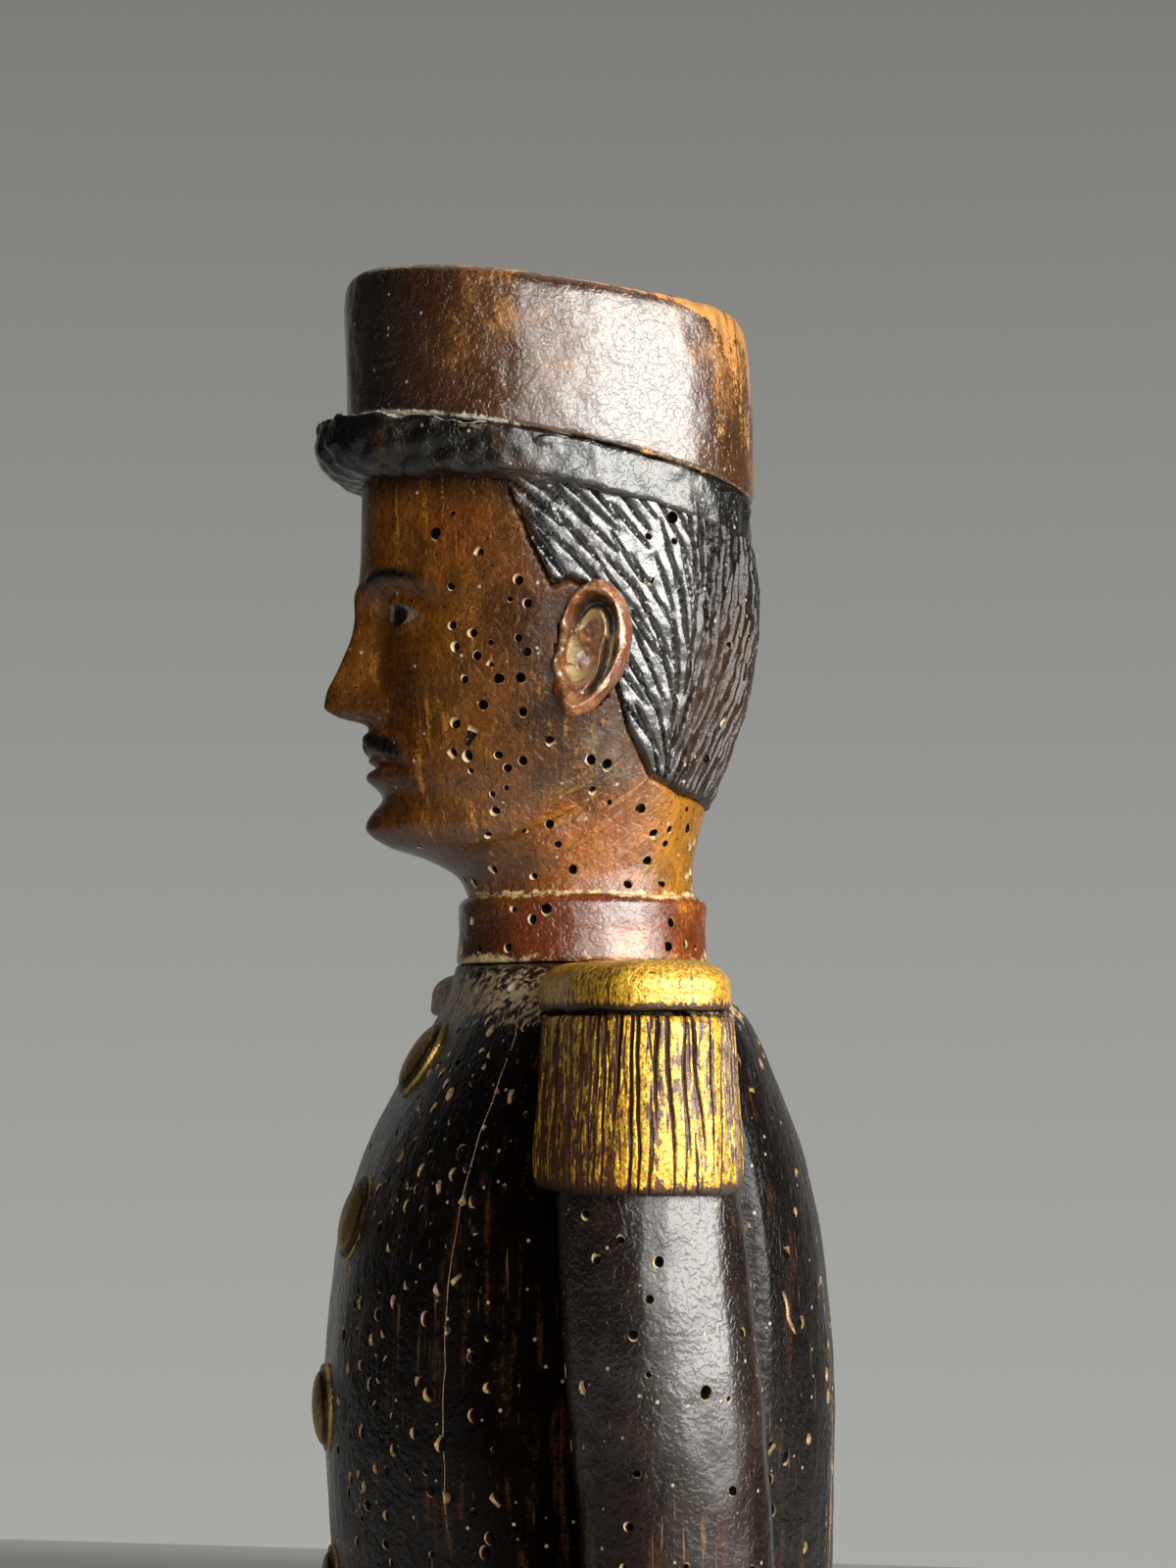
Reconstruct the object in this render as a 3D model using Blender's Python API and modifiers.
"""Carved and painted wooden officer on a plinth, put together from separately carved pieces.

Metres, +Z up. The figure faces -Y and its left side is +X. The origin is the middle of the
plinth's underside. Run with: blender --background --python part.py
"""

import math
from collections import namedtuple

import bmesh
import bpy
from mathutils import Vector

# Driving dimensions
GAP = 0.0003  # between pieces that touch
PLINTH_SIZE = (0.116, 0.102, 0.022)
PLINTH_BEVEL = 0.005
SEAT_X = 0.042  # planed flat on each side of the tunic, where an arm is glued on
LEG_X = 0.020  # middle of each leg, out from the figure's middle
TOE_OUT = math.radians(9)

# Levels above the plinth's underside
SOLE_Z = PLINTH_SIZE[2]
TROUSER_Z = 0.046
KNEE_Z = 0.105
HEM_Z = 0.172
CUFF_Z = 0.186
WAIST_Z = 0.226
ELBOW_Z = 0.232
CHEST_Z = 0.284
FRINGE_Z = 0.314
PAD_Z = 0.336
SHOULDER_Z = 0.343
COLLAR_Z = 0.352
CHIN_Z = 0.359
EYE_Z = 0.391

# Planes that cut the hat: height on the figure's middle line, and fall towards the back
HAT_FOOT = (0.4062, 0.142)
HAT_SEAM = (0.4128, 0.186)
HAT_TOP = (0.4348, 0.128)
HAT_Y = -0.0046  # middle of the hat, ahead of the neck

BUTTON_RADIUS = 0.006
BUTTON_DOME = 0.0030
BUTTON_SHANK = (0.0009, 0.009)  # radius and length
BUTTON_LIFT = 0.0005  # of the head's rim off the curved cloth
BUTTON_PLACES = (  # how far left of the middle, and the level, of each nail
    (0.002, 0.330),
    (0.005, 0.3085),
    (0.0, 0.2825),
    (0.0, 0.258),
    (0.0, 0.234),
    (0.0, 0.210),
)

FIGURE = "carved_officer"
PAINTS = {  # colour, roughness, metallic
    "tunic_black": ((0.020, 0.014, 0.011), 0.35, 0.0),
    "flesh_brown": ((0.150, 0.062, 0.022), 0.40, 0.0),
    "facing_red": ((0.140, 0.030, 0.012), 0.40, 0.0),
    "cap_red": ((0.090, 0.030, 0.013), 0.35, 0.0),
    "cap_black": ((0.014, 0.011, 0.010), 0.30, 0.0),
    "gilt": ((0.480, 0.270, 0.050), 0.45, 0.6),
    "old_brass": ((0.270, 0.170, 0.055), 0.40, 1.0),
    "boot_black": ((0.012, 0.010, 0.009), 0.30, 0.0),
    "plinth_brown": ((0.050, 0.026, 0.014), 0.45, 0.0),
    "raw_wood": ((0.450, 0.290, 0.150), 0.70, 0.0),
}

# A level outline of a carved block: half width, reach to the front and to the back of (x, y),
# how square it is (2 is an ellipse), and how far it falls for each metre towards the back.
Ring = namedtuple("Ring", "z width front back x y power slope", defaults=(0, 0, 2, 0))


def new_collection(name):
    """An empty collection in the scene."""
    collection = bpy.data.collections.new(name)
    bpy.context.scene.collection.children.link(collection)
    return collection


for leftover in list(bpy.data.objects):
    bpy.data.objects.remove(leftover)
PARTS = new_collection(FIGURE)
CUTTERS = new_collection("cutters")


def make_paint(name):
    """The plain finish of a piece."""
    colour, roughness, metallic = PAINTS[name]
    paint = bpy.data.materials.new(name)
    paint.use_nodes = True
    shader = paint.node_tree.nodes["Principled BSDF"]
    shader.inputs["Base Color"].default_value = (*colour, 1)
    shader.inputs["Roughness"].default_value = roughness
    shader.inputs["Metallic"].default_value = metallic
    return paint


MATERIALS = {name: make_paint(name) for name in PAINTS}


def file_object(obj, name, paint):
    """Names a piece, paints it and puts it among the figure's parts."""
    obj.name = obj.data.name = name
    for collection in list(obj.users_collection):
        collection.objects.unlink(obj)
    PARTS.objects.link(obj)
    obj.data.materials.append(MATERIALS[paint])
    return obj


def as_cutter(obj):
    """Makes an object a helper that only cuts."""
    for collection in list(obj.users_collection):
        collection.objects.unlink(obj)
    CUTTERS.objects.link(obj)
    obj.hide_render = True
    obj.display_type = "WIRE"
    return obj


def boolean(target, other, operation):
    """Adds a Boolean to the target piece."""
    modifier = target.modifiers.new(f"{operation.lower()} {other.name}", "BOOLEAN")
    modifier.operation = operation
    modifier.object = other


def mesh_object(name, bm):
    """A new object from a finished bmesh."""
    mesh = bpy.data.meshes.new(name)
    bm.to_mesh(mesh)
    bm.free()
    mesh.shade_smooth()
    mesh.set_sharp_from_angle(angle=math.radians(40))
    obj = bpy.data.objects.new(name, mesh)
    bpy.context.scene.collection.objects.link(obj)
    return obj


def outline_point(ring, turn):
    """The point of a ring at an angle from +X, anticlockwise from above."""
    across, along = math.cos(turn), math.sin(turn)
    reach = ring.back if along > 0 else ring.front
    x = ring.x + ring.width * math.copysign(abs(across) ** (2 / ring.power), across)
    y = ring.y + reach * math.copysign(abs(along) ** (2 / ring.power), along)
    return Vector((x, y, ring.z - ring.slope * y))


def ring_between(rings, z):
    """The outline at a level between two of a block's rings."""
    low, high = next((a, b) for a, b in zip(rings, rings[1:]) if a.z <= z <= b.z)
    share = (z - low.z) / (high.z - low.z)
    return Ring(*(a + (b - a) * share for a, b in zip(low, high)))


def carved_block(name, rings, paint, sides=24, shape=None):
    """A solid from a cylinder with one loop cut a ring, each loop pulled out to its outline.

    shape, if given, moves each point further, as a carver would cut a detail.
    """
    steps = len(rings) - 1
    bm = bmesh.new()
    bmesh.ops.create_cone(
        bm, cap_ends=True, segments=sides, radius1=1, radius2=1, depth=steps
    )
    uprights = [e for e in bm.edges if abs(e.verts[0].co.z - e.verts[1].co.z) > 0.5]
    bmesh.ops.subdivide_edges(bm, edges=uprights, cuts=steps - 1)
    for v in bm.verts:
        ring = rings[round(v.co.z + steps / 2)]
        v.co = outline_point(ring, math.atan2(v.co.y, v.co.x))
        if shape:
            v.co = shape(v.co)
    return file_object(mesh_object(name, bm), name, paint)


def mirrored(rings, side):
    """Rings of a left piece, put on the side that is +1 for left and -1 for right."""
    return [ring._replace(x=side * ring.x) for ring in rings]


def planed_inside(side, inner_x):
    """A shape that planes a piece flat where it faces the middle of the figure."""

    def plane_off(point):
        return Vector((side * max(side * point.x, inner_x), point.y, point.z))

    return plane_off


def rod_between(start, end, radius, sides=16):
    """A round rod from one point to another."""
    start, end = Vector(start), Vector(end)
    bpy.ops.mesh.primitive_cylinder_add(
        vertices=sides,
        radius=radius,
        depth=(end - start).length,
        location=(start + end) / 2,
        rotation=(end - start).to_track_quat("Z", "Y").to_euler(),
    )
    return bpy.context.object


def dowel(name, start, end, radius, hosts):
    """A peg, and a hole a little larger for it in each piece that it joins."""
    start, end = Vector(start), Vector(end)
    along = (end - start).normalized() * GAP
    file_object(rod_between(start, end, radius), name, "raw_wood")
    hole = as_cutter(rod_between(start - along, end + along, radius + GAP))
    hole.name = f"{name}_hole"
    for host in hosts:
        boolean(host, hole, "DIFFERENCE")


# Plinth: a plain block with its top edges rounded over
def make_plinth():
    bm = bmesh.new()
    bmesh.ops.create_cube(bm, size=1)
    bmesh.ops.scale(bm, vec=PLINTH_SIZE, verts=bm.verts)
    bmesh.ops.translate(bm, vec=(0, 0, PLINTH_SIZE[2] / 2), verts=bm.verts)
    top = [e for e in bm.edges if min(v.co.z for v in e.verts) > PLINTH_SIZE[2] / 2]
    bmesh.ops.bevel(
        bm, geom=top, affect="EDGES", offset=PLINTH_BEVEL, segments=3, profile=0.5
    )
    return file_object(mesh_object("plinth", bm), "plinth", "plinth_brown")


# Boots: ankle and shoe in one, hidden at the top by the trouser leg
BOOT_RINGS = [
    Ring(SOLE_Z + GAP, 0.0108, 0.0300, 0.0145, power=2.5),
    Ring(0.0260, 0.0112, 0.0310, 0.0150, power=2.5),
    Ring(0.0310, 0.0110, 0.0300, 0.0148, power=2.3),
    Ring(0.0360, 0.0104, 0.0225, 0.0140, power=2.1),
    Ring(0.0400, 0.0100, 0.0150, 0.0128),
    Ring(TROUSER_Z - GAP, 0.0100, 0.0120, 0.0122),
]


def make_boot(side, hand):
    boot = carved_block(f"{hand}_boot", BOOT_RINGS, "boot_black", sides=20)
    boot.location.x = side * LEG_X
    boot.rotation_euler.z = side * TOE_OUT
    return boot


# Trouser legs, which butt against the underside of the tunic's skirt
LEG_RINGS = [
    Ring(TROUSER_Z, 0.0134, 0.0170, 0.0160, LEG_X),
    Ring(0.0550, 0.0130, 0.0160, 0.0156, LEG_X),
    Ring(0.0780, 0.0138, 0.0156, 0.0168, LEG_X),
    Ring(KNEE_Z, 0.0144, 0.0172, 0.0160, LEG_X),
    Ring(0.1250, 0.0158, 0.0190, 0.0180, LEG_X),
    Ring(0.1480, 0.0172, 0.0212, 0.0208, LEG_X),
    Ring(HEM_Z - GAP, 0.0182, 0.0225, 0.0225, LEG_X),
]


def make_leg(side, hand):
    return carved_block(
        f"{hand}_trouser_leg", mirrored(LEG_RINGS, side), "facing_red", sides=20
    )


# Tunic body: skirt, waist, barrel chest and sloping shoulders, in one block
TUNIC_RINGS = [
    Ring(HEM_Z, 0.0435, 0.0365, 0.0365, power=2.3),
    Ring(0.1920, 0.0430, 0.0352, 0.0352, power=2.3),
    Ring(0.2100, 0.0405, 0.0335, 0.0330, power=2.25),
    Ring(WAIST_Z, 0.0388, 0.0322, 0.0314, power=2.2),
    Ring(0.2420, 0.0404, 0.0326, 0.0322, power=2.2),
    Ring(0.2620, 0.0438, 0.0342, 0.0332, power=2.2),
    Ring(CHEST_Z, 0.0465, 0.0354, 0.0334, power=2.2),
    Ring(0.3020, 0.0472, 0.0340, 0.0321, power=2.2),
    Ring(0.3160, 0.0468, 0.0300, 0.0292, power=2.2),
    Ring(0.3260, 0.0460, 0.0250, 0.0254, power=2.2),
    Ring(0.3340, 0.0440, 0.0202, 0.0218, power=2.2),
    Ring(0.3390, 0.0340, 0.0178, 0.0190, power=2.1),
    Ring(SHOULDER_Z, 0.0178, 0.0174, 0.0174),
]


def plane_tunic_sides(point):
    """Planes both sides of the tunic to flats that the arms are glued to."""
    return Vector((max(-SEAT_X, min(SEAT_X, point.x)), point.y, point.z))


def make_tunic():
    return carved_block(
        "tunic_body", TUNIC_RINGS, "tunic_black", sides=32, shape=plane_tunic_sides
    )


# Sleeves: hanging arms, planed flat on the inside, with a turned-back cuff and a rebated top
EPAULETTE_Y = -0.0018  # middle of the shoulder, ahead of the figure's middle
SLEEVE_RINGS = [
    Ring(CUFF_Z, 0.0098, 0.0106, 0.0106, 0.0525, -0.0010),
    Ring(0.1990, 0.0106, 0.0114, 0.0114, 0.0528, 0.0000),
    Ring(0.1998, 0.0094, 0.0102, 0.0102, 0.0528, 0.0000),
    Ring(0.2140, 0.0100, 0.0108, 0.0108, 0.0530, 0.0022),
    Ring(ELBOW_Z, 0.0108, 0.0114, 0.0114, 0.0534, 0.0038),
    Ring(0.2590, 0.0112, 0.0118, 0.0118, 0.0536, 0.0030),
    Ring(0.2880, 0.0115, 0.0123, 0.0123, 0.0537, 0.0008),
    Ring(FRINGE_Z - GAP, 0.0111, 0.0122, 0.0118, 0.0533, -0.0012),
    Ring(FRINGE_Z, 0.0094, 0.0098, 0.0098, 0.0525, EPAULETTE_Y),
    Ring(0.3300, 0.0090, 0.0094, 0.0094, 0.0520, EPAULETTE_Y),
    Ring(PAD_Z - GAP, 0.0070, 0.0076, 0.0076, 0.0500, EPAULETTE_Y),
]


def make_sleeve(side, hand):
    return carved_block(
        f"{hand}_sleeve",
        mirrored(SLEEVE_RINGS, side),
        "tunic_black",
        sides=20,
        shape=planed_inside(side, SEAT_X + GAP),
    )


# Hands: closed fingers hanging against the skirt, thumb to the front
HAND_RINGS = [
    Ring(0.1560, 0.0026, 0.0040, 0.0034, 0.0505, -0.0030),
    Ring(0.1580, 0.0044, 0.0066, 0.0062, 0.0508, -0.0026),
    Ring(0.1660, 0.0056, 0.0080, 0.0078, 0.0512, -0.0022),
    Ring(0.1740, 0.0058, 0.0100, 0.0080, 0.0516, -0.0018),
    Ring(0.1800, 0.0056, 0.0082, 0.0070, 0.0520, -0.0014),
    Ring(CUFF_Z - GAP, 0.0056, 0.0062, 0.0062, 0.0524, -0.0010),
]


def make_hand(side, hand):
    return carved_block(
        f"{hand}_hand", mirrored(HAND_RINGS, side), "flesh_brown", sides=16
    )


# Epaulettes: a fringe shell round the top of the sleeve, and a pad that lies over it
FRINGE_OUT = (0.0675, 0.0128)  # reach from the middle of the figure, and half width
FRINGE_WALL = 0.0024
PAD_RINGS = [
    Ring(PAD_Z + GAP, 0.0232, 0.0108, 0.0108, 0.0440, EPAULETTE_Y, 3.2),
    Ring(PAD_Z + 0.0012, 0.0238, 0.0114, 0.0114, 0.0440, EPAULETTE_Y, 3.2),
    Ring(PAD_Z + 0.0040, 0.0236, 0.0112, 0.0112, 0.0440, EPAULETTE_Y, 3.2),
    Ring(PAD_Z + 0.0058, 0.0222, 0.0098, 0.0098, 0.0440, EPAULETTE_Y, 3.0),
    Ring(PAD_Z + 0.0066, 0.0190, 0.0070, 0.0070, 0.0440, EPAULETTE_Y, 2.8),
]
PAD_SEAT = ((0.0195, 0.0560), 0.0122, 0.0100)  # x range, half width and height cut away


def arch(reach, half_width, inner_x, points=15):
    """Half an oval from the tunic's side out to a reach and back, seen from above."""
    turns = [math.pi * i / (points - 1) - math.pi / 2 for i in range(points)]
    return [
        (
            inner_x + (reach - inner_x) * math.cos(turn) ** 0.7,
            EPAULETTE_Y + half_width * math.copysign(abs(math.sin(turn)) ** 0.8, turn),
        )
        for turn in turns
    ]


def make_fringe(side, hand):
    inner_x = SEAT_X + GAP
    reach, half_width = FRINGE_OUT
    outside = arch(reach, half_width, inner_x)
    inside = arch(reach - FRINGE_WALL, half_width - FRINGE_WALL, inner_x)
    height = PAD_Z - GAP - FRINGE_Z
    curve = bpy.data.curves.new(f"{hand}_epaulette_fringe", "CURVE")
    curve.dimensions = "2D"
    curve.fill_mode = "BOTH"
    curve.extrude = height / 2
    spline = curve.splines.new("POLY")
    corners = outside + inside[::-1]
    spline.points.add(len(corners) - 1)
    for point, (x, y) in zip(spline.points, corners):
        point.co = (side * x, y, 0, 1)
    spline.use_cyclic_u = True
    obj = bpy.data.objects.new(curve.name, curve)
    obj.location.z = FRINGE_Z + height / 2
    return file_object(obj, curve.name, "gilt")


def make_pad(side, hand, tunic):
    """The pad, and the flat seat cut for it in the shoulder."""
    (low_x, high_x), half_width, height = PAD_SEAT
    bpy.ops.mesh.primitive_cube_add(
        size=1,
        location=(side * (low_x + high_x) / 2, EPAULETTE_Y, PAD_Z + height / 2),
        scale=(high_x - low_x, 2 * half_width, height),
    )
    seat = as_cutter(bpy.context.object)
    seat.name = f"{hand}_pad_seat"
    boolean(tunic, seat, "DIFFERENCE")
    return carved_block(
        f"{hand}_epaulette_pad", mirrored(PAD_RINGS, side), "gilt", sides=24
    )


# Stand collar: a turned ring that the neck sits on
COLLAR_RINGS = [
    Ring(SHOULDER_Z + GAP, 0.0174, 0.0174, 0.0174),
    Ring(SHOULDER_Z + 0.0040, 0.0172, 0.0172, 0.0172),
    Ring(COLLAR_Z - 0.0012, 0.0173, 0.0173, 0.0173),
    Ring(COLLAR_Z, 0.0165, 0.0165, 0.0165),
]


def make_collar():
    return carved_block("stand_collar", COLLAR_RINGS, "facing_red", sides=28)


# Head: neck, jaw, face and back of the head, cut level with the foot of the hat
HEAD_RINGS = [
    Ring(COLLAR_Z + GAP, 0.0156, 0.0156, 0.0156),
    Ring(0.3550, 0.0153, 0.0172, 0.0155),
    Ring(0.3575, 0.0156, 0.0215, 0.0156),
    Ring(CHIN_Z + 0.0005, 0.0160, 0.0268, 0.0160),
    Ring(0.3620, 0.0166, 0.0292, 0.0165),
    Ring(0.3655, 0.0176, 0.0286, 0.0176),
    Ring(0.3690, 0.0186, 0.0296, 0.0190),
    Ring(0.3725, 0.0195, 0.0299, 0.0204),
    Ring(0.3755, 0.0202, 0.0296, 0.0214),
    Ring(0.3785, 0.0208, 0.0293, 0.0224),
    Ring(0.3820, 0.0214, 0.0291, 0.0233),
    Ring(0.3865, 0.0220, 0.0293, 0.0241),
    Ring(EYE_Z, 0.0224, 0.0298, 0.0246),
    Ring(0.3950, 0.0228, 0.0310, 0.0247),
    Ring(0.3990, 0.0231, 0.0314, 0.0247),
    Ring(HAT_FOOT[0], 0.0234, 0.0312, 0.0244, slope=HAT_FOOT[1]),
]

# Mounds and hollows of the face: middle (x, z), spread (x, z) and rise. A pair has both sides.
Mound = namedtuple("Mound", "x z spread_x spread_z rise")
FACE = [
    Mound(0.0, 0.3805, 0.0034, 0.0046, 0.0068),  # nose
    Mound(0.0, 0.3875, 0.0026, 0.0050, 0.0030),  # bridge
    Mound(0.0084, EYE_Z - 0.0005, 0.0050, 0.0032, -0.0026),  # eye sockets
    Mound(0.0084, EYE_Z - 0.0008, 0.0034, 0.0020, 0.0016),  # eyes
    Mound(0.0040, 0.3742, 0.0046, 0.0018, 0.0016),  # moustache
    Mound(0.0, 0.3682, 0.0060, 0.0013, 0.0010),  # lower lip
    Mound(0.0, 0.3625, 0.0062, 0.0032, 0.0010),  # chin
    Mound(0.0142, 0.3840, 0.0050, 0.0050, 0.0006),  # cheekbones
]
EAR_RADII = (0.0030, 0.0062, 0.0096)
EAR_PLACE = (0.0220, -0.0030, 0.3850)
EAR_FLARE = math.radians(24)
EAR_LEAN = math.radians(-8)


def carve_face(point):
    """Raises and hollows the front of the head."""
    if point.y > 0:
        return point
    rise = 0
    for mound in FACE:
        for x in {mound.x, -mound.x}:
            across = (point.x - x) / mound.spread_x
            up = (point.z - mound.z) / mound.spread_z
            rise += mound.rise * math.exp(-across * across - up * up)
    return point - Vector((0, rise, 0))


def make_head():
    head = carved_block("head", HEAD_RINGS, "flesh_brown", sides=44, shape=carve_face)
    x, y, z = EAR_PLACE
    for side in (1, -1):
        bpy.ops.mesh.primitive_uv_sphere_add(
            segments=12, ring_count=8, radius=1, location=(side * x, y, z)
        )
        ear = as_cutter(bpy.context.object)
        ear.name = "left_ear" if side > 0 else "right_ear"
        ear.scale = EAR_RADII
        ear.rotation_euler = (EAR_LEAN, 0, -side * EAR_FLARE)
        boolean(head, ear, "UNION")
    return head


# Hat: a band round the head, a crown on it and a thick peak let in at the front
BAND_RINGS = [
    Ring(HAT_FOOT[0] + GAP, 0.0250, 0.0282, 0.0286, 0, HAT_Y, slope=HAT_FOOT[1]),
    Ring(HAT_FOOT[0] + 0.0012, 0.0258, 0.0290, 0.0292, 0, HAT_Y, slope=HAT_FOOT[1]),
    Ring(HAT_SEAM[0] - 0.0006, 0.0260, 0.0294, 0.0290, 0, HAT_Y, slope=HAT_SEAM[1]),
    Ring(HAT_SEAM[0], 0.0254, 0.0288, 0.0286, 0, HAT_Y, slope=HAT_SEAM[1]),
]
CROWN_RINGS = [
    Ring(HAT_SEAM[0] + GAP, 0.0252, 0.0286, 0.0288, 0, HAT_Y, slope=HAT_SEAM[1]),
    Ring(0.4215, 0.0255, 0.0288, 0.0288, 0, HAT_Y, slope=0.170),
    Ring(0.4285, 0.0256, 0.0290, 0.0284, 0, HAT_Y, slope=0.150),
    Ring(HAT_TOP[0] - 0.0018, 0.0252, 0.0287, 0.0272, 0, HAT_Y, slope=HAT_TOP[1]),
    Ring(HAT_TOP[0] - 0.0003, 0.0238, 0.0274, 0.0258, 0, HAT_Y, slope=HAT_TOP[1]),
    Ring(HAT_TOP[0], 0.0215, 0.0250, 0.0236, 0, HAT_Y, slope=HAT_TOP[1]),
]
PEAK_Y = -0.0092
PEAK_RINGS = [
    Ring(HAT_FOOT[0] - 0.0008, 0.0228, 0.0240, 0.0180, 0, PEAK_Y, slope=HAT_FOOT[1]),
    Ring(HAT_FOOT[0] + 0.0013, 0.0256, 0.0270, 0.0180, 0, PEAK_Y, slope=HAT_FOOT[1]),
    Ring(HAT_FOOT[0] + 0.0038, 0.0266, 0.0283, 0.0180, 0, PEAK_Y, slope=HAT_FOOT[1]),
    Ring(HAT_SEAM[0] - 0.0018, 0.0266, 0.0279, 0.0180, 0, PEAK_Y, slope=HAT_SEAM[1]),
    Ring(HAT_SEAM[0] - 0.0004, 0.0258, 0.0266, 0.0180, 0, PEAK_Y, slope=HAT_SEAM[1]),
]
PEAK_SEAT_RINGS = [
    Ring(0.3980, 0.0263, 0.0297, 0.0295, 0, HAT_Y),
    Ring(0.4260, 0.0263, 0.0297, 0.0295, 0, HAT_Y),
]


def make_hat():
    band = carved_block("kepi_band", BAND_RINGS, "cap_black", sides=36)
    crown = carved_block("kepi_crown", CROWN_RINGS, "cap_red", sides=36)
    peak = carved_block("kepi_peak", PEAK_RINGS, "cap_black", sides=36)
    seat = as_cutter(carved_block("peak_seat", PEAK_SEAT_RINGS, "cap_black", sides=36))
    boolean(peak, seat, "DIFFERENCE")
    return band, crown


# Buttons: domed brass nails down the front of the tunic
def button_profile():
    """Half the outline of a nail, from the top of its dome down to its point."""
    arc = [math.pi / 2 * (1 - i / 5) for i in range(6)]
    dome = [(BUTTON_RADIUS * math.cos(a), BUTTON_DOME * math.sin(a)) for a in arc]
    shank_radius, shank_length = BUTTON_SHANK
    shank = [(shank_radius, 0), (shank_radius, -0.7 * shank_length), (0, -shank_length)]
    return dome + shank


def make_button(name, point, outward):
    """A nail standing on the tunic at a point, facing outward."""
    mesh = bpy.data.meshes.new(name)
    profile = button_profile()
    edges = [(i, i + 1) for i in range(len(profile) - 1)]
    mesh.from_pydata([(x, 0, z) for x, z in profile], edges, [])
    button = bpy.data.objects.new(name, mesh)
    button.location = point
    button.rotation_euler = outward.to_track_quat("Z", "Y").to_euler()
    screw = button.modifiers.new("turn", "SCREW")
    screw.steps = screw.render_steps = 16
    screw.use_merge_vertices = True
    screw.merge_threshold = 0.00001
    return file_object(button, name, "old_brass")


def tunic_front(x, z):
    """The point on the front of the tunic at a level and a distance from the middle."""
    ring = ring_between(TUNIC_RINGS, z)
    share = (1 - abs(x / ring.width) ** ring.power) ** (1 / ring.power)
    return Vector((x, -ring.front * share, z))


def make_buttons(tunic):
    """The front row, each nail square to the cloth, with a hole in the tunic for its shank."""
    shank_radius, shank_length = BUTTON_SHANK
    step = BUTTON_RADIUS / 3
    for number, (x, z) in enumerate(BUTTON_PLACES, 1):
        low, seat, high = (tunic_front(x, level) for level in (z - step, z, z + step))
        inward, outside = (tunic_front(x + move, z) for move in (-step, step))
        outward = (outside - inward).cross(high - low).normalized()
        lift = seat + outward * BUTTON_LIFT
        make_button(f"tunic_button_{number}", lift, outward)
        tip = lift - outward * (shank_length + GAP)
        mouth = lift + outward * BUTTON_DOME
        hole = as_cutter(rod_between(tip, mouth, shank_radius + GAP, sides=8))
        hole.name = f"tunic_button_{number}_hole"
        boolean(tunic, hole, "DIFFERENCE")


# Pegs inside the joints: radius, and the two ends along the peg
LEG_ROD = (0.003, 0.008, 0.196)
SHOULDER_PEG = (0.003, 0.024, 0.056)
SHOULDER_PEG_Z = 0.305
PAD_PEG = (0.0015, 0.327, 0.3405)
PAD_PEG_X = 0.031
WRIST_PEG = (0.0018, 0.176, 0.197)
WRIST_PEG_PLACE = (0.0522, -0.0012)
NECK_DOWEL = (0.006, 0.322, 0.372)
KEPI_DOWEL = (0.004, 0.392, 0.428)


def upright_peg(name, place, peg, hosts):
    """A peg that stands upright at a place seen from above."""
    radius, low, high = peg
    dowel(name, (*place, low), (*place, high), radius, hosts)


def make_side(side, hand, plinth, tunic):
    """One leg and one arm, pegged to the plinth and the tunic."""
    boot = make_boot(side, hand)
    leg = make_leg(side, hand)
    upright_peg(f"{hand}_leg_rod", (side * LEG_X, 0), LEG_ROD, (plinth, boot, leg, tunic))

    sleeve = make_sleeve(side, hand)
    radius, inner_end, outer_end = SHOULDER_PEG
    dowel(
        f"{hand}_shoulder_peg",
        (side * inner_end, 0, SHOULDER_PEG_Z),
        (side * outer_end, 0, SHOULDER_PEG_Z),
        radius,
        (tunic, sleeve),
    )
    palm = make_hand(side, hand)
    wrist_x, wrist_y = WRIST_PEG_PLACE
    upright_peg(f"{hand}_wrist_peg", (side * wrist_x, wrist_y), WRIST_PEG, (sleeve, palm))

    make_fringe(side, hand)
    pad = make_pad(side, hand, tunic)
    upright_peg(f"{hand}_pad_peg", (side * PAD_PEG_X, EPAULETTE_Y), PAD_PEG, (tunic, pad))


def assemble():
    """Makes every piece and pegs them together, from the plinth up."""
    plinth = make_plinth()
    tunic = make_tunic()
    make_side(1, "left", plinth, tunic)
    make_side(-1, "right", plinth, tunic)
    make_buttons(tunic)
    collar = make_collar()
    head = make_head()
    upright_peg("neck_dowel", (0, 0), NECK_DOWEL, (tunic, collar, head))
    band, crown = make_hat()
    upright_peg("kepi_dowel", (0, HAT_Y), KEPI_DOWEL, (head, band, crown))


assemble()
